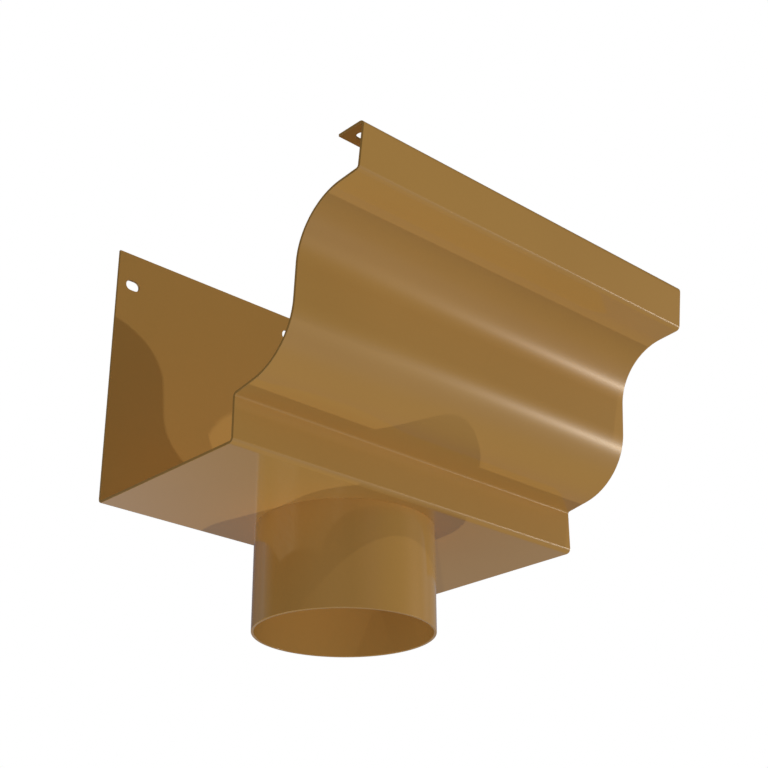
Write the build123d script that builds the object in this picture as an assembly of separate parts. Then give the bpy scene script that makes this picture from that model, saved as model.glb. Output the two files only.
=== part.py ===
from build123d import *
import os
from math import cos, radians, sin, tan

# Gutter outlet: a short length of ogee gutter folded from one sheet, with a
# round spigot joined under its sole. Millimetres, +Z up.
#
# The profile is drawn in (d, z): d runs forward from the outer face of the back
# plate, z runs up from the underside of the sole. The row's frame has its
# origin on the spigot's axis at its lower rim, X along the gutter and Y towards
# the wall, so that X = along, Y = SPIGOT_D - d, Z = z + SPIGOT_LENGTH.

# ---- driving dimensions -----------------------------------------------------
LENGTH = 177.6          # along the gutter, end to end
SHEET = 1.1             # sheet thickness, paint included
FOLD_R = 2.1            # outer radius of a sharp fold
TOP_FOLD_R = 2.3        # outer radius of the fold between fascia and lip

BACK_H = 111.0          # back plate, above the sole's underside
SOLE_W = 83.4           # sole, outer face to outer face
UPRIGHT_H = 18.05       # front upright, sole underside to the outer corner
SLOPE_A = 10.0          # lower strip, degrees above level
SLOPE_L = 10.15         # lower strip, outer corner to the convex curve
CONVEX_R = 26.5         # convex curve, outer face
MID_A = 86.2            # short straight between the curves, degrees above level
MID_L = 13.2            # its length
CONCAVE_R = 23.9        # concave curve, outer face
SHELF_A = 5.15          # upper strip, degrees above level
SHELF_L = 10.1          # upper strip, concave curve to the outer corner
FASCIA_A = 82.8         # fascia, degrees above level (it leans outwards)
FASCIA_TOP = 99.7       # top of the fascia and lip
LIP_EDGE_D = 136.9      # free edge of the return lip

SPIGOT_R = 36.0         # outer radius of the spigot
SPIGOT_WALL = 1.1       # its wall
SPIGOT_LENGTH = 42.5    # below the sole's underside
SPIGOT_D = 41.5         # its axis, forward of the back plate's outer face

SLOT_END = 7.2          # punched slots, centres from each end of the gutter
BACK_SLOT = (6.4, 4.4)  # slots in the back plate, length and width
LIP_SLOT = (6.8, 5.0)   # slots in the lip, length and width
BACK_SLOT_Z = 96.8      # slots in the back plate, above the sole's underside
LIP_SLOT_D = 142.75     # slots in the lip, forward of the back plate
FIX_R = 2.5             # round fixing hole in the middle of the back plate
FIX_Z = 101.9

BURR = 0.12             # the cut ends and rims are eased by this much


# ---- the folded sheet -------------------------------------------------------
def walk():
    """The strip's middle line, from the top of the back plate to the lip's free
    edge, as ("line", length) and ("arc", middle radius, turn), left positive.
    The outer face is on the right."""
    half = SHEET / 2
    inner = FOLD_R - SHEET
    mid = FOLD_R - half
    up_turn = 90 - SLOPE_A
    up_t = inner * tan(radians(up_turn / 2))
    shelf_turn = FASCIA_A - SHELF_A
    shelf_t = FOLD_R * tan(radians(shelf_turn / 2))
    top_turn = 180 - FASCIA_A
    top_t = TOP_FOLD_R * tan(radians(top_turn / 2))
    steps = [
        ("line", BACK_H - FOLD_R),
        ("arc", mid, 90),
        ("line", SOLE_W - 2 * FOLD_R),
        ("arc", mid, 90),
        ("line", UPRIGHT_H - up_t - FOLD_R),
        ("arc", mid, -up_turn),
        ("line", SLOPE_L - up_t),
        ("arc", CONVEX_R - half, MID_A - SLOPE_A),
        ("line", MID_L),
        ("arc", CONCAVE_R + half, -(MID_A - SHELF_A)),
        ("line", SHELF_L - shelf_t),
        ("arc", mid, shelf_turn),
    ]
    x, z, a = run(steps)[-1][1]
    # outer face at this point, and the fascia's length up to the top corner
    oz = z - half * cos(radians(a))
    steps += [
        ("line", (FASCIA_TOP - oz) / sin(radians(a)) - top_t),
        ("arc", TOP_FOLD_R - half, top_turn),
    ]
    x, z, a = run(steps)[-1][1]
    steps.append(("line", x - LIP_EDGE_D))
    return steps


def run(steps):
    """Start and end (d, z, heading in degrees) of each step, with its shape."""
    x, z, a = SHEET / 2, BACK_H, -90.0
    out = []
    for s in steps:
        start = (x, z, a)
        if s[0] == "line":
            x += s[1] * cos(radians(a))
            z += s[1] * sin(radians(a))
        else:
            side = 1 if s[2] > 0 else -1
            cx = x - side * s[1] * sin(radians(a))
            cz = z + side * s[1] * cos(radians(a))
            a += s[2]
            x = cx + side * s[1] * sin(radians(a))
            z = cz - side * s[1] * cos(radians(a))
        out.append((start, (x, z, a), s))
    return out


def row_point(d, z, x=0.0):
    return Vector(x, SPIGOT_D - d, z + SPIGOT_LENGTH)


def offset_at(p, off):
    """The point beside p, off to the left of its heading."""
    d, z, a = p
    return d - off * sin(radians(a)), z + off * cos(radians(a))


def face_edges(steps, off, x):
    edges = []
    for start, end, s in run(steps):
        p, q = offset_at(start, off), offset_at(end, off)
        if s[0] == "line":
            edges.append(Edge.make_line(row_point(*p, x), row_point(*q, x)))
        else:
            side = 1 if s[2] > 0 else -1
            d, z, a = start
            cd = d - side * s[1] * sin(radians(a))
            cz = z + side * s[1] * cos(radians(a))
            am = radians(a + s[2] / 2)
            r = s[1] - side * off
            m = (cd + side * r * sin(am), cz - side * r * cos(am))
            edges.append(
                Edge.make_three_point_arc(
                    row_point(*p, x), row_point(*m, x), row_point(*q, x)
                )
            )
    return edges


STEPS = walk()
PATH = run(STEPS)
x0 = -LENGTH / 2
outer = face_edges(STEPS, -SHEET / 2, x0)
inner = face_edges(STEPS, SHEET / 2, x0)
start_cap = Edge.make_line(inner[0] @ 0, outer[0] @ 0)
end_cap = Edge.make_line(outer[-1] @ 1, inner[-1] @ 1)
section = Face(Wire(outer + inner + [start_cap, end_cap]))
trough = Solid.extrude(section, Vector(LENGTH, 0, 0))


def slot_cutter(centre, normal, length, width, deep):
    """An obround bar through the sheet, its long way along X."""
    plane = Plane(origin=centre, x_dir=(1, 0, 0), z_dir=normal)
    with BuildPart() as bar:
        with BuildSketch(plane):
            SlotOverall(length, width)
        extrude(amount=deep, both=True)
    return bar.part


end_x = LENGTH / 2 - SLOT_END
for side in (-1, 1):
    trough -= slot_cutter(
        row_point(SHEET / 2, BACK_SLOT_Z, side * end_x), (0, 1, 0), *BACK_SLOT, 3
    )
    trough -= slot_cutter(
        row_point(LIP_SLOT_D, FASCIA_TOP - SHEET / 2, side * end_x),
        (0, 0, 1),
        *LIP_SLOT,
        3,
    )
trough -= Plane(origin=row_point(SHEET / 2, FIX_Z), z_dir=(0, 1, 0)) * Cylinder(
    FIX_R, 6
)
trough -= Pos(0, 0, SPIGOT_LENGTH) * Cylinder(SPIGOT_R - SPIGOT_WALL, 8)
trough = trough.solids()[0]

# ---- the spigot -------------------------------------------------------------
# It butts against the sole's underside, in line with the hole there. The lower
# rim is eased inside and out.
top = SPIGOT_LENGTH
wall = SPIGOT_R - SPIGOT_WALL
profile = Polyline(
    (wall + BURR, 0, 0),
    (SPIGOT_R - BURR, 0, 0),
    (SPIGOT_R, 0, BURR),
    (SPIGOT_R, 0, top),
    (wall, 0, top),
    (wall, 0, BURR),
    close=True,
)
spigot = revolve(make_face(profile), axis=Axis.Z, revolution_arc=360)
spigot = spigot.solids()[0]

# ---- write ------------------------------------------------------------------
os.makedirs("parts", exist_ok=True)
export_step(trough, "parts/outlet_trough.step")
export_step(spigot, "parts/outlet_spigot.step")

developed = sum(s[1] if s[0] == "line" else s[1] * radians(abs(s[2])) for s in STEPS)
print("trough volume", trough.volume, "developed width", developed)
print("spigot volume", spigot.volume)
for a, b, s in PATH:
    o = offset_at(b, -SHEET / 2)
    print(s[0], "outer face ends at", round(o[0], 3), round(o[1], 3), "heading", round(b[2], 2))
print("trough box", trough.bounding_box())
print("spigot box", spigot.bounding_box())
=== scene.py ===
import math

import bpy
import numpy as np
from mathutils import Matrix, Vector


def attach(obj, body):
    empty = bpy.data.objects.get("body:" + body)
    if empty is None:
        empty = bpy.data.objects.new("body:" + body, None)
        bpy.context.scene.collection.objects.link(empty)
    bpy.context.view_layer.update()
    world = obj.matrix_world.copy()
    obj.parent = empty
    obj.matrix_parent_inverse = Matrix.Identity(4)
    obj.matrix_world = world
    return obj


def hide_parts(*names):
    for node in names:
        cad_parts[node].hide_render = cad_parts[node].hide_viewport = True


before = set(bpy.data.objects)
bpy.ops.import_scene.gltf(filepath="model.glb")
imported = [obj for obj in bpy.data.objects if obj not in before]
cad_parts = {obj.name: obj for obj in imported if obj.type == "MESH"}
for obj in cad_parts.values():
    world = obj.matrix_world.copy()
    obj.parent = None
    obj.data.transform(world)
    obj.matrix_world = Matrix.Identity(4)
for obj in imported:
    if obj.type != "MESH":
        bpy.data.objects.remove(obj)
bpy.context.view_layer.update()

MM = 0.001

# ---- the folded sheet's dimensions, in millimetres, as the frame has them ----
LENGTH = 177.6
SHEET = 1.1
FOLD_R = 2.1
TOP_FOLD_R = 2.3
BACK_H = 111.0
SOLE_W = 83.4
UPRIGHT_H = 18.05
SLOPE_A, SLOPE_L = 10.0, 10.15
CONVEX_R = 26.5
MID_A, MID_L = 86.2, 13.2
CONCAVE_R = 23.9
SHELF_A, SHELF_L = 5.15, 10.1
FASCIA_A, FASCIA_TOP = 82.8, 99.7
LIP_EDGE_D = 136.9
SPIGOT_R, SPIGOT_WALL, SPIGOT_LENGTH, SPIGOT_D = 36.0, 1.1, 42.5, 41.5
SLOT_END, BACK_SLOT, LIP_SLOT = 7.2, (6.4, 4.4), (6.8, 5.0)
BACK_SLOT_Z, LIP_SLOT_D = 96.8, 142.75
FIX_R, FIX_Z = 2.5, 101.9

HALF = SHEET / 2
EASE = 0.16             # paint rounds every cut edge by this radius


# ---- the strip's middle line --------------------------------------------------
def walk():
    """The middle line from the top of the back plate to the lip's free edge, as
    ("line", length) and ("arc", middle radius, turn), left positive."""
    inner = FOLD_R - SHEET
    mid = FOLD_R - HALF
    up_turn = 90 - SLOPE_A
    up_t = inner * math.tan(math.radians(up_turn / 2))
    shelf_turn = FASCIA_A - SHELF_A
    shelf_t = FOLD_R * math.tan(math.radians(shelf_turn / 2))
    top_turn = 180 - FASCIA_A
    top_t = TOP_FOLD_R * math.tan(math.radians(top_turn / 2))
    steps = [
        ("line", BACK_H - FOLD_R),
        ("arc", mid, 90),
        ("line", SOLE_W - 2 * FOLD_R),
        ("arc", mid, 90),
        ("line", UPRIGHT_H - up_t - FOLD_R),
        ("arc", mid, -up_turn),
        ("line", SLOPE_L - up_t),
        ("arc", CONVEX_R - HALF, MID_A - SLOPE_A),
        ("line", MID_L),
        ("arc", CONCAVE_R + HALF, -(MID_A - SHELF_A)),
        ("line", SHELF_L - shelf_t),
        ("arc", mid, shelf_turn),
    ]
    z, a = along(steps, len(steps) - 1, 1.0)[1:]
    oz = z - HALF * math.cos(math.radians(a))
    steps += [
        ("line", (FASCIA_TOP - oz) / math.sin(math.radians(a)) - top_t),
        ("arc", TOP_FOLD_R - HALF, top_turn),
    ]
    d = along(steps, len(steps) - 1, 1.0)[0]
    steps.append(("line", d - LIP_EDGE_D))
    return steps


def along(steps, k, t):
    """(d, z, heading in degrees) of the middle line at share t of step k."""
    d, z, a = HALF, BACK_H, -90.0
    for i, s in enumerate(steps[: k + 1]):
        q = t if i == k else 1.0
        if s[0] == "line":
            d += q * s[1] * math.cos(math.radians(a))
            z += q * s[1] * math.sin(math.radians(a))
        else:
            side = 1 if s[2] > 0 else -1
            cd = d - side * s[1] * math.sin(math.radians(a))
            cz = z + side * s[1] * math.cos(math.radians(a))
            a += q * s[2]
            d = cd + side * s[1] * math.sin(math.radians(a))
            z = cz - side * s[1] * math.cos(math.radians(a))
    return d, z, a


STEPS = walk()


def in_row(d, z):
    """(Y, Z) of the row frame, in millimetres."""
    return SPIGOT_D - d, z + SPIGOT_LENGTH


def line_cuts(length, at):
    """Shares along a straight step for the given distances from its start."""
    return [x / length for x in at]


# ---- mesh building ------------------------------------------------------------
class Shell:
    """Points in millimetres, faces, the exact normal of each point, and how far
    round a cut edge it lies (0 on a face, 1 on the cut itself)."""

    def __init__(self):
        self.co, self.no, self.cut, self.faces = [], [], [], []

    def point(self, p, n, cut=0.0):
        self.co.append(tuple(p))
        self.no.append(tuple(n))
        self.cut.append(cut)
        return len(self.co) - 1

    def face(self, *ids):
        ids = [v for i, v in enumerate(ids) if v != ids[i - 1]]
        if len(ids) >= 3:
            self.faces.append(ids)

    def strip(self, a, b, closed=True):
        """Faces between two rows of points."""
        n = len(a)
        for i in range(n if closed else n - 1):
            j = (i + 1) % n
            self.face(a[i], a[j], b[j], b[i])

    def build(self, name):
        me = bpy.data.meshes.new(name)
        me.from_pydata([Vector(c) * MM for c in self.co], [], self.faces)
        # cut_edge is the mask for the painted shade that darkens the paint along the cut edges
        cut = me.attributes.new("cut_edge", "FLOAT", "POINT")
        cut.data.foreach_set("value", self.cut)
        me.validate()
        me.polygons.foreach_set("use_smooth", [True] * len(me.polygons))
        me.normals_split_custom_set_from_vertices(
            [Vector(n).normalized() for n in self.no]
        )
        me.update()
        ob = bpy.data.objects.new(name, me)
        bpy.context.scene.collection.objects.link(ob)
        return ob


def edge_profile(steps=4):
    """(share outward, share through the sheet, angle) round a cut edge, from the
    outer face to the inner one. The first and last lie on the faces."""
    out = []
    for k in range(steps + 1):
        t = math.radians(90 * k / steps)
        out.append((EASE * math.sin(t), HALF - EASE + EASE * math.cos(t), t, 1))
    for k in range(steps + 1):
        t = math.radians(90 - 90 * k / steps)
        out.append((EASE * math.sin(t), -(HALF - EASE + EASE * math.cos(t)), t, -1))
    return out


EDGE = edge_profile()


def around(xs, ss):
    """The grid points round a block, anticlockwise in (x, s) index space."""
    i0, i1, j0, j1 = xs[0], xs[-1], ss[0], ss[-1]
    loop = [(i, j0) for i in range(i0, i1)]
    loop += [(i1, j) for j in range(j0, j1)]
    loop += [(i, j1) for i in range(i1, i0, -1)]
    loop += [(i0, j) for j in range(j1, j0, -1)]
    return loop


def on_slot(u, v, length, width):
    """Where the ray from a slot's middle towards (u, v) leaves it, and the
    outward direction there. A circle is a slot as long as it is wide."""
    r, c = width / 2, (length - width) / 2
    m = math.hypot(u, v)
    u, v = u / m, v / m
    if abs(v) > 1e-9 and abs(u / v) * r <= c:
        t = r / abs(v)
        return (u * t, v * t), (0.0, math.copysign(1, v))
    s = math.copysign(c, u)
    b = u * s
    t = b + math.sqrt(b * b - c * c + r * r)
    p = (u * t, v * t)
    return p, ((p[0] - s) / r, p[1] / r)


def folded_sheet():
    """The whole folded strip with its slots and holes, every cut edge eased."""
    sh = Shell()
    end = LENGTH / 2 - EASE
    half_x = [0.5 + k for k in range(5)]                       # 0.5 .. 4.5
    half_x += [4.5 + (40 - 4.5) * k / 14 for k in range(1, 15)]
    half_x += [40 + (76 - 40) * k / 7 for k in range(1, 8)]
    half_x += [76 + (end - 1.2 - 76) * k / 11 for k in range(1, 12)] + [end]
    xs = [-x for x in reversed(half_x)] + half_x

    # stations along the strip: (step, share)
    st = []
    L0 = STEPS[0][1]
    back = [EASE] + [5 + k for k in range(15)] + [19 + (L0 - 19) * k / 13 for k in range(1, 14)]
    back.insert(1, 2.5)
    for k, s in enumerate(STEPS):
        if k == 0:
            st += [(0, t) for t in line_cuts(s[1], back)]
        elif k == 2:
            cuts = [1.0] + [1.0 + 77.0 * q / 34 for q in range(1, 35)] + [s[1]]
            st += [(2, t) for t in line_cuts(s[1], cuts)]
        elif k == len(STEPS) - 1:
            # the lip: its slot sits in a block of its own
            a = along(STEPS, k, 0.0)[0]
            mid = a - LIP_SLOT_D
            cuts = [mid - 3.3 + 0.66 * q for q in range(11)] + [s[1] - EASE]
            st += [(k, t) for t in line_cuts(s[1], cuts)]
        elif s[0] == "line":
            n = max(2, round(s[1] / 3.0))
            st += [(k, (q + 1) / n) for q in range(n)]
        else:
            n = max(10, round(abs(s[2]) / (2.0 if s[1] > 10 else 8.0)))
            st += [(k, (q + 1) / n) for q in range(n)]
    line = [along(STEPS, k, t) for k, t in st]
    nx, ns = len(xs), len(line)

    def place(j):
        d, z, a = line[j]
        y, zz = in_row(d, z)
        r = math.radians(a)
        return Vector((0, y, zz)), Vector((0, -math.sin(r), -math.cos(r))), Vector(
            (0, -math.cos(r), math.sin(r))
        )

    frames = [place(j) for j in range(ns)]      # point, outer normal, way along

    def index_of(x):
        return min(range(nx), key=lambda i: abs(xs[i] - x))

    def station(d=None, z=None, lo=0, hi=None):
        hi = ns if hi is None else hi
        if d is not None:
            return min(range(lo, hi), key=lambda j: abs(line[j][0] - d))
        return min(range(lo, hi), key=lambda j: abs(line[j][1] - z))

    steps_of = [k for k, _ in st]
    last = len(STEPS) - 1
    b0, b1 = 0, max(j for j in range(ns) if steps_of[j] == 0) + 1
    s0 = min(j for j in range(ns) if steps_of[j] == 2)
    s1 = max(j for j in range(ns) if steps_of[j] == 2) + 1
    l0 = min(j for j in range(ns) if steps_of[j] == last)

    # holes: (x of the middle, station coordinate of the middle, length, width, block)
    ex = LENGTH / 2 - SLOT_END
    holes = []
    for side in (-1, 1):
        xa, xb = sorted((index_of(side * 76), index_of(side * (end - 1.2))))
        holes.append((side * ex, "z", BACK_SLOT_Z, *BACK_SLOT, xa, xb,
                      station(z=BACK_H - 10, lo=b0, hi=b1), station(z=BACK_H - 19, lo=b0, hi=b1)))
        holes.append((side * ex, "d", LIP_SLOT_D, *LIP_SLOT, xa, xb,
                      l0, l0 + 10))
    holes.append((0.0, "z", FIX_Z, 2 * FIX_R, 2 * FIX_R, index_of(-4.5), index_of(4.5),
                  station(z=BACK_H - 5, lo=b0, hi=b1), station(z=BACK_H - 14, lo=b0, hi=b1)))
    bore = 2 * (SPIGOT_R - SPIGOT_WALL)
    holes.append((0.0, "d", SPIGOT_D, bore, bore, index_of(-40), index_of(40), s0, s1 - 2))

    in_block = set()
    for h in holes:
        for i in range(h[5], h[6]):
            for j in range(h[7], h[8]):
                in_block.add((i, j))
    buried = set()
    for h in holes:
        for i in range(h[5] + 1, h[6]):
            for j in range(h[7] + 1, h[8]):
                buried.add((i, j))

    outer, inner = {}, {}
    for j in range(ns):
        p, n, t = frames[j]
        for i in range(nx):
            if (i, j) in buried:
                continue
            base = Vector((xs[i], p.y, p.z))
            outer[i, j] = sh.point(base + n * HALF, n)
            inner[i, j] = sh.point(base - n * HALF, -n)
    for j in range(ns - 1):
        for i in range(nx - 1):
            if (i, j) in in_block:
                continue
            sh.face(outer[i, j], outer[i + 1, j], outer[i + 1, j + 1], outer[i, j + 1])
            sh.face(inner[i, j], inner[i, j + 1], inner[i + 1, j + 1], inner[i + 1, j])

    def rim(spine):
        """Round a cut edge: spine holds (outer id, inner id, point on the middle
        line, face normal, outward direction)."""
        rings = []
        for k, (off, thr, t, sgn) in enumerate(EDGE):
            ring = []
            for o, i, p, n, out in spine:
                if k == 0:
                    ring.append(o)
                elif k == len(EDGE) - 1:
                    ring.append(i)
                else:
                    q = Vector(p) + out * off + n * thr
                    way = out * math.sin(t) + n * (sgn * math.cos(t))
                    ring.append(sh.point(q, way, min(1.0, 1.5 * math.sin(t))))
            rings.append(ring)
        for a, b in zip(rings, rings[1:]):
            sh.strip(a, b)

    # the strip's own outline
    spine = []
    X = Vector((1, 0, 0))

    def add(i, j, out):
        p, n, t = frames[j]
        spine.append((outer[i, j], inner[i, j], (xs[i], p.y, p.z), n, out))

    def corner(i, j, a, b):
        for q in (22.5, 45.0, 67.5):
            r = math.radians(q)
            add(i, j, a * math.cos(r) + b * math.sin(r))

    t0, t1 = frames[0][2], frames[-1][2]
    for i in range(nx):
        add(i, 0, -t0)
    corner(nx - 1, 0, -t0, X)
    for j in range(ns):
        add(nx - 1, j, X)
    corner(nx - 1, ns - 1, X, t1)
    for i in reversed(range(nx)):
        add(i, ns - 1, t1)
    corner(0, ns - 1, t1, -X)
    for j in reversed(range(ns)):
        add(0, j, -X)
    corner(0, 0, -X, -t0)
    rim(spine[::-1])

    # slots and holes, each in its block of the grid
    for cx, kind, cs, length, width, xa, xb, ja, jb in holes:
        loop = around(range(xa, xb + 1), range(ja, jb + 1))
        j0 = ja
        p0, n, t = frames[j0]
        # distance along the strip of the middle of the hole from station j0
        dist = (line[j0][1] - cs) if kind == "z" else abs(cs - line[j0][0])
        centre = Vector((cx, p0.y, p0.z)) + t * dist
        rows = 3
        ends, spine = [], []
        for i, j in loop:
            p = Vector((xs[i], frames[j][0].y, frames[j][0].z))
            u, v = (p - centre).x, (p - centre).dot(t)
            (hu, hv), (du, dv) = on_slot(u, v, length, width)
            out = -(X * du + t * dv)             # into the hole
            edge = centre + X * hu + t * hv - out * EASE
            ends.append((p, edge))
            spine.append(out)
        prev_o = [outer[i, j] for i, j in loop]
        prev_i = [inner[i, j] for i, j in loop]
        shares = (0.55, 0.85, 1.0)
        for q in shares:
            row_o = [sh.point(a.lerp(b, q) + n * HALF, n) for a, b in ends]
            row_i = [sh.point(a.lerp(b, q) - n * HALF, -n) for a, b in ends]
            sh.strip(prev_o, row_o)
            sh.strip(row_i, prev_i)
            prev_o, prev_i = row_o, row_i
        rim([(o, i, b, n, out) for o, i, (a, b), out in zip(prev_o, prev_i, ends, spine)])
    return sh.build("folded_trough")


def spigot_tube(turns=192):
    """The round spigot: a thin tube, both rims eased."""
    sh = Shell()
    r0, r1 = SPIGOT_R - SPIGOT_WALL, SPIGOT_R
    rim_r, top_r = 0.3, 0.01
    prof = []                                   # (r, z, n_r, n_z)

    def arc(cr, cz, r, a0, a1, steps=5):
        for k in range(steps + 1):
            t = math.radians(a0 + (a1 - a0) * k / steps)
            prof.append((cr + r * math.cos(t), cz + r * math.sin(t), math.cos(t), math.sin(t)))

    arc(r0 + rim_r, rim_r, rim_r, 180, 270)     # inner edge of the lower rim
    arc(r1 - rim_r, rim_r, rim_r, 270, 360)     # outer edge
    for k in range(1, 12):
        prof.append((r1, rim_r + (SPIGOT_LENGTH - rim_r - top_r) * k / 12, 1, 0))
    arc(r1 - top_r, SPIGOT_LENGTH - top_r, top_r, 0, 90, 2)
    arc(r0 + top_r, SPIGOT_LENGTH - top_r, top_r, 90, 180, 2)
    for k in range(11, 0, -1):
        prof.append((r0, rim_r + (SPIGOT_LENGTH - rim_r - top_r) * k / 12, -1, 0))
    rings = []
    for r, z, nr, nz in prof:
        ring = []
        for k in range(turns):
            t = 2 * math.pi * k / turns
            c, s = math.cos(t), math.sin(t)
            ring.append(sh.point((r * c, r * s, z), (nr * c, nr * s, nz)))
        rings.append(ring)
    for a, b in zip(rings, rings[1:] + rings[:1]):
        sh.strip(a, b)
    return sh.build("spigot_tube")


# ---- the paint ----------------------------------------------------------------
PAINT = dict(base=(0.660, 0.3667, 0.0987), rough=0.08)


def paint(name, seed):
    """Glossy stoved paint over sheet metal: a faint drift of tone, a fine flow
    texture in the film, and a slightly uneven gloss."""
    m = bpy.data.materials.new(name)
    m.use_nodes = True
    nt = m.node_tree
    nt.nodes.clear()
    N, L = nt.nodes.new, nt.links.new
    out = N("ShaderNodeOutputMaterial")
    bs = N("ShaderNodeBsdfPrincipled")
    L(bs.outputs["BSDF"], out.inputs["Surface"])
    tc = N("ShaderNodeTexCoord")
    shift = N("ShaderNodeMapping")
    shift.inputs["Location"].default_value = (seed * 0.37, seed * 0.19, seed * 0.53)
    L(tc.outputs["Object"], shift.inputs["Vector"])

    drift = N("ShaderNodeTexNoise")
    drift.inputs["Scale"].default_value = 14
    drift.inputs["Detail"].default_value = 2
    L(shift.outputs["Vector"], drift.inputs["Vector"])
    grain = N("ShaderNodeTexNoise")
    grain.inputs["Scale"].default_value = 900
    grain.inputs["Detail"].default_value = 3
    L(shift.outputs["Vector"], grain.inputs["Vector"])
    peel = N("ShaderNodeTexNoise")
    peel.inputs["Scale"].default_value = 420
    peel.inputs["Detail"].default_value = 1.5
    L(shift.outputs["Vector"], peel.inputs["Vector"])

    both = N("ShaderNodeMix")
    both.data_type = "FLOAT"
    both.inputs["Factor"].default_value = 0.25
    L(drift.outputs["Fac"], both.inputs["A"])
    L(grain.outputs["Fac"], both.inputs["B"])
    tone = N("ShaderNodeValToRGB")
    r, g, b = PAINT["base"]
    tone.color_ramp.elements[0].position = 0.3
    tone.color_ramp.elements[0].color = (r * 0.975, g * 0.972, b * 0.965, 1)
    tone.color_ramp.elements[1].position = 0.7
    tone.color_ramp.elements[1].color = (r * 1.025, g * 1.028, b * 1.035, 1)
    L(both.outputs["Result"], tone.inputs["Fac"])

    # painted shade: the base colour is darkened to 0.72 along the cut edges, standing in for the
    # shading of the cut ends
    edge = N("ShaderNodeAttribute")
    edge.attribute_name = "cut_edge"
    edge_shade = N("ShaderNodeMapRange")
    edge_shade.inputs["To Min"].default_value = 1.0
    edge_shade.inputs["To Max"].default_value = 0.72
    L(edge.outputs["Fac"], edge_shade.inputs["Value"])
    film = N("ShaderNodeVectorMath")
    film.operation = "SCALE"
    L(tone.outputs["Color"], film.inputs[0])
    L(edge_shade.outputs["Result"], film.inputs["Scale"])
    L(film.outputs["Vector"], bs.inputs["Base Color"])

    gloss = N("ShaderNodeMapRange")
    gloss.inputs["From Min"].default_value = 0.3
    gloss.inputs["From Max"].default_value = 0.7
    gloss.inputs["To Min"].default_value = PAINT["rough"] - 0.012
    gloss.inputs["To Max"].default_value = PAINT["rough"] + 0.012
    L(drift.outputs["Fac"], gloss.inputs["Value"])
    L(gloss.outputs["Result"], bs.inputs["Roughness"])

    bump = N("ShaderNodeBump")
    bump.inputs["Strength"].default_value = 1.0
    bump.inputs["Distance"].default_value = 0.0000006
    L(peel.outputs["Fac"], bump.inputs["Height"])
    L(bump.outputs["Normal"], bs.inputs["Normal"])
    bs.inputs["IOR"].default_value = 1.5
    return m


trough = folded_sheet()
trough.data.materials.append(paint("trough_paint", 1))
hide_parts("outlet_trough")
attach(trough, "root")

spigot = spigot_tube()
spigot.data.materials.append(paint("spigot_paint", 2))
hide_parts("outlet_spigot")
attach(spigot, "root")


# ---- camera -------------------------------------------------------------------
AZ, EL, ROLL = math.radians(-43.0175), math.radians(-24.8827), math.radians(-0.1436)
back = Vector((math.sin(AZ) * math.cos(EL), -math.cos(AZ) * math.cos(EL), math.sin(EL)))
right = (-back).cross(Vector((0, 0, 1))).normalized()
up = right.cross(-back)
rr = math.cos(ROLL) * right + math.sin(ROLL) * up
uu = -math.sin(ROLL) * right + math.cos(ROLL) * up
cam_data = bpy.data.cameras.new("camera")
cam_data.sensor_width = 36
cam_data.lens = 1493.3 / 768 * 36
cam_data.clip_start, cam_data.clip_end = 0.01, 60
cam = bpy.data.objects.new("camera", cam_data)
bpy.context.scene.collection.objects.link(cam)
m = Matrix((rr, uu, back)).transposed().to_4x4()
m.translation = Vector((-0.374237, -0.424168, -0.155603))
cam.matrix_world = m
bpy.context.scene.camera = cam


# ---- light --------------------------------------------------------------------
# Five soft-edged keys light the paint; the reflections come from the room alone,
# so the keys aren't seen in the gloss.
def sun(name, towards, strength, angle=0.3):
    d = bpy.data.lights.new(name, "SUN")
    d.energy = strength
    d.angle = math.radians(angle)
    o = bpy.data.objects.new(name, d)
    o.rotation_mode = "QUATERNION"
    o.rotation_quaternion = Vector(towards).to_track_quat("Z", "Y")
    o.location = Vector(towards).normalized() * 1.5
    o.visible_glossy = False
    bpy.context.scene.collection.objects.link(o)
    return o


KEYS = [
    sun("key_front_top", (0.2164, -0.9763, 1.2721), 0.29),
    sun("key_right", (0.801, -0.599, 0.000), 0.59),
    sun("low_front", (0.1545, -0.741, -0.995), 0.62, 0.8),
    sun("low_left", (-0.737, -0.676, -0.445), 0.31),
    sun("low_back", (0.025, 0.437, -1.0), 0.46),
]

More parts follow.
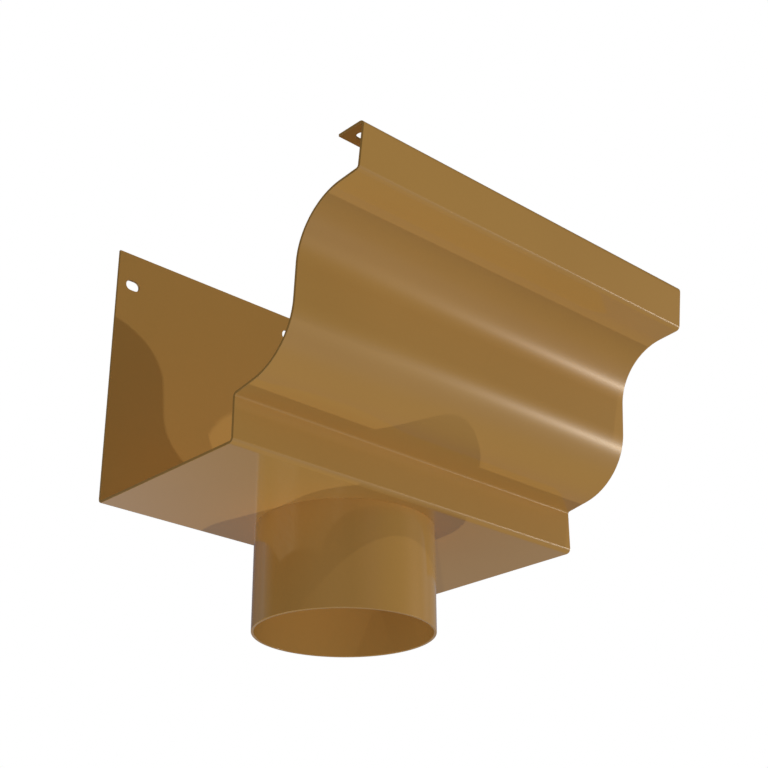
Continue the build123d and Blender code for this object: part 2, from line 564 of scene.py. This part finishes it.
# The room: large soft panels of light. Each is a direction (azimuth from -Y
# towards +X, elevation), the width across it at half strength, and its light.
FILL = [                    # what falls on the paint
    (-90, 0, 75, (0.20, 0.20, 0.20)),
    (0, 90, 75, (0.45, 0.45, 0.45)),
    (-135, -35.3, 75, (0.36, 0.36, 0.36)),
    (-135, 0, 75, (0.07, 0.07, 0.07)),
    (45, 0, 75, (0.27, 0.27, 0.27)),
    (-90, 45, 75, (0.12, 0.12, 0.12)),
    (155, 45, 60, (0.35, 0.35, 0.35)),
]
SEEN = [                    # what the gloss mirrors
    (-60, -60, 60, (0.29, 0.54, 0.28)),
    (-60, -30, 60, (1.07, 0.88, 0.59)),
    (-10, -60, 60, (0.00, 0.00, 0.15)),
    (-10, -30, 60, (0.00, 0.00, 0.10)),
    (40, -60, 60, (0.00, 0.00, 0.05)),
    (140, -60, 60, (0.00, 0.01, 0.08)),
    (140, 30, 60, (0.17, 0.18, 0.23)),
    (30, -50, 32, (0.00, 0.00, 0.06)),
    (30, -30, 32, (0.00, 0.02, 0.07)),
    (55, -10, 32, (0.21, 0.21, 0.22)),
    (80, -10, 32, (0.09, 0.05, 0.08)),
    (105, -10, 32, (0.53, 0.48, 0.47)),
    (105, 15, 32, (0.12, 0.10, 0.07)),
    (130, -50, 32, (0.00, 0.03, 0.08)),
    (130, -10, 32, (0.12, 0.14, 0.17)),
    (130, 15, 32, (0.08, 0.06, 0.07)),
    (36, -40, 18, (0.17, 0.23, 0.25)),
    (36, -25, 18, (0.00, 0.06, 0.12)),
    (36, -10, 18, (0.33, 0.32, 0.31)),
    (48, -25, 18, (0.00, 0.00, 0.06)),
    (48, 18, 18, (0.12, 0.08, 0.07)),
    (60, -10, 18, (0.01, 0.12, 0.25)),
    (-111, -18, 12, (1.52, 1.29, 0.80)),
    (-50, -18, 10, (1.51, 1.26, 0.79)),
    (-165, 18, 20, (0.04, 0.08, 0.11)),
    (-161, 18, 10, (0.11, 0.14, 0.17)),
    (-178, 18, 14, (0.06, 0.07, 0.10)),
    (152, -20, 25, (0.00, 0.01, 0.05)),
    (-8, 18, 20, (0.00, 0.00, 0.06)),
    (80, 18, 16, (0.29, 0.26, 0.26)),
    (97, 18, 10, (0.09, 0.06, 0.05)),
    (-175, -25, 32, (0.35, 0.37, 0.36)),
    (-150, -50, 32, (0.31, 0.15, 0.00)),
    (-150, -25, 32, (0.25, 0.23, 0.03)),
    (-125, -50, 32, (0.46, 0.23, 0.00)),
    (-125, -25, 32, (1.76, 1.54, 1.19)),
    (155, -20, 16, (0.51, 0.54, 0.62)),
    (-164, 18, 14, (0.00, 0.04, 0.08)),
    (-150, 17, 12, (0.09, 0.12, 0.13)),
    (110, 17, 14, (0.06, 0.04, 0.00)),
]
LAMP = [                    # the one bright lamp, mirrored once
    (48, -10, 18, (0.14, 0.15, 0.16)),
    (48, 5, 18, (0.19, 0.13, 0.09)),
    (60, 5, 18, (1.02, 0.73, 0.58)),
    (50, -2.3, 5, (1.26, 1.07, 0.60)),
    (50, -2.3, 7, (1.90, 1.63, 1.26)),
    (50, -2.3, 10, (2.31, 2.13, 1.90)),
    (50, -2.3, 14, (2.22, 2.13, 2.01)),
    (50, -2.3, 20, (0.10, 0.05, 0.00)),
    (54, -2.3, 6, (0.13, 0.10, 0.02)),
    (56, -3, 8, (0.17, 0.11, 0.00)),
    (60, -3, 10, (0.06, 0.03, 0.00)),
    (45, -2.3, 6, (0.15, 0.02, 0.00)),
    (47, -2.3, 4, (0.89, 0.78, 0.61)),
    (50, -2.3, 3, (0.20, 0.18, 0.06)),
    (47, -2.3, 7, (0.69, 0.54, 0.37)),
]

world = bpy.data.worlds.new("studio")
bpy.context.scene.world = world
world.use_nodes = True
world.cycles.sampling_method = "NONE"
wt = world.node_tree
wt.nodes.clear()
w_way = wt.nodes.new("ShaderNodeTexCoord").outputs["Generated"]


def panels(rows, name):
    """The summed light of the rows along the world direction."""
    total = None
    for k, (az, el, width, light) in enumerate(rows):
        a, e = math.radians(az), math.radians(el)
        dot = wt.nodes.new("ShaderNodeVectorMath")
        dot.operation = "DOT_PRODUCT"
        dot.inputs[1].default_value = (
            math.sin(a) * math.cos(e), -math.cos(a) * math.cos(e), math.sin(e)
        )
        wt.links.new(w_way, dot.inputs[0])
        front = wt.nodes.new("ShaderNodeMath")
        front.operation = "MAXIMUM"
        front.inputs[1].default_value = 0.0
        wt.links.new(dot.outputs["Value"], front.inputs[0])
        fall = wt.nodes.new("ShaderNodeMath")
        fall.operation = "POWER"
        fall.inputs[1].default_value = math.log(0.5) / math.log(
            math.cos(math.radians(width / 2))
        )
        wt.links.new(front.outputs["Value"], fall.inputs[0])
        lit = wt.nodes.new("ShaderNodeVectorMath")
        lit.operation = "SCALE"
        lit.name = "%s_%d" % (name, k)
        lit.inputs[0].default_value = light
        wt.links.new(fall.outputs["Value"], lit.inputs["Scale"])
        if total is None:
            total = lit.outputs["Vector"]
        else:
            add = wt.nodes.new("ShaderNodeVectorMath")
            add.operation = "ADD"
            wt.links.new(total, add.inputs[0])
            wt.links.new(lit.outputs["Vector"], add.inputs[1])
            total = add.outputs["Vector"]
    bg = wt.nodes.new("ShaderNodeBackground")
    wt.links.new(total, bg.inputs["Color"])
    return bg


w_out = wt.nodes.new("ShaderNodeOutputWorld")
w_path = wt.nodes.new("ShaderNodeLightPath")
w_fill, w_seen, w_lamp = panels(FILL, "fill"), panels(SEEN, "seen"), panels(LAMP, "lamp")
w_once = wt.nodes.new("ShaderNodeMath")
w_once.operation = "LESS_THAN"
w_once.inputs[1].default_value = 1.5
wt.links.new(w_path.outputs["Glossy Depth"], w_once.inputs[0])
wt.links.new(w_once.outputs["Value"], w_lamp.inputs["Strength"])
w_room = wt.nodes.new("ShaderNodeAddShader")
wt.links.new(w_seen.outputs["Background"], w_room.inputs[0])
wt.links.new(w_lamp.outputs["Background"], w_room.inputs[1])
w_white = wt.nodes.new("ShaderNodeBackground")
w_white.inputs["Color"].default_value = (1, 1, 1, 1)
w_split = wt.nodes.new("ShaderNodeMixShader")
wt.links.new(w_path.outputs["Is Glossy Ray"], w_split.inputs["Fac"])
wt.links.new(w_fill.outputs["Background"], w_split.inputs[1])
wt.links.new(w_room.outputs["Shader"], w_split.inputs[2])
w_mix = wt.nodes.new("ShaderNodeMixShader")
wt.links.new(w_path.outputs["Is Camera Ray"], w_mix.inputs["Fac"])
wt.links.new(w_split.outputs["Shader"], w_mix.inputs[1])
wt.links.new(w_white.outputs["Background"], w_mix.inputs[2])
wt.links.new(w_mix.outputs["Shader"], w_out.inputs["Surface"])

# ---- floor --------------------------------------------------------------------
# It is pale, lies under the spigot's rim and is seen from above only, because
# the camera looks up from below it.
FLOOR_Z = -0.0001
me = bpy.data.meshes.new("floor")
me.from_pydata(
    [(-12, -12, FLOOR_Z), (12, -12, FLOOR_Z), (12, 12, FLOOR_Z), (-12, 12, FLOOR_Z)],
    [], [(0, 1, 2, 3)],
)
floor = bpy.data.objects.new("floor", me)
bpy.context.scene.collection.objects.link(floor)
fm = bpy.data.materials.new("floor")
fm.use_nodes = True
ft = fm.node_tree
fb = ft.nodes["Principled BSDF"]
fb.inputs["Base Color"].default_value = (0.86, 0.86, 0.86, 1)
fb.inputs["Roughness"].default_value = 0.9
fb.inputs["Emission Color"].default_value = (1, 1, 1, 1)
fb.inputs["Emission Strength"].default_value = 0.5
f_side = ft.nodes.new("ShaderNodeNewGeometry")
f_clear = ft.nodes.new("ShaderNodeBsdfTransparent")
f_mix = ft.nodes.new("ShaderNodeMixShader")
ft.links.new(f_side.outputs["Backfacing"], f_mix.inputs["Fac"])
ft.links.new(fb.outputs["BSDF"], f_mix.inputs[1])
ft.links.new(f_clear.outputs["BSDF"], f_mix.inputs[2])
ft.links.new(f_mix.outputs["Shader"], ft.nodes["Material Output"].inputs["Surface"])
floor.data.materials.append(fm)
floor.visible_shadow = False
floor.visible_diffuse = False
floor.visible_glossy = False

bpy.context.scene.view_settings.view_transform = "Standard"
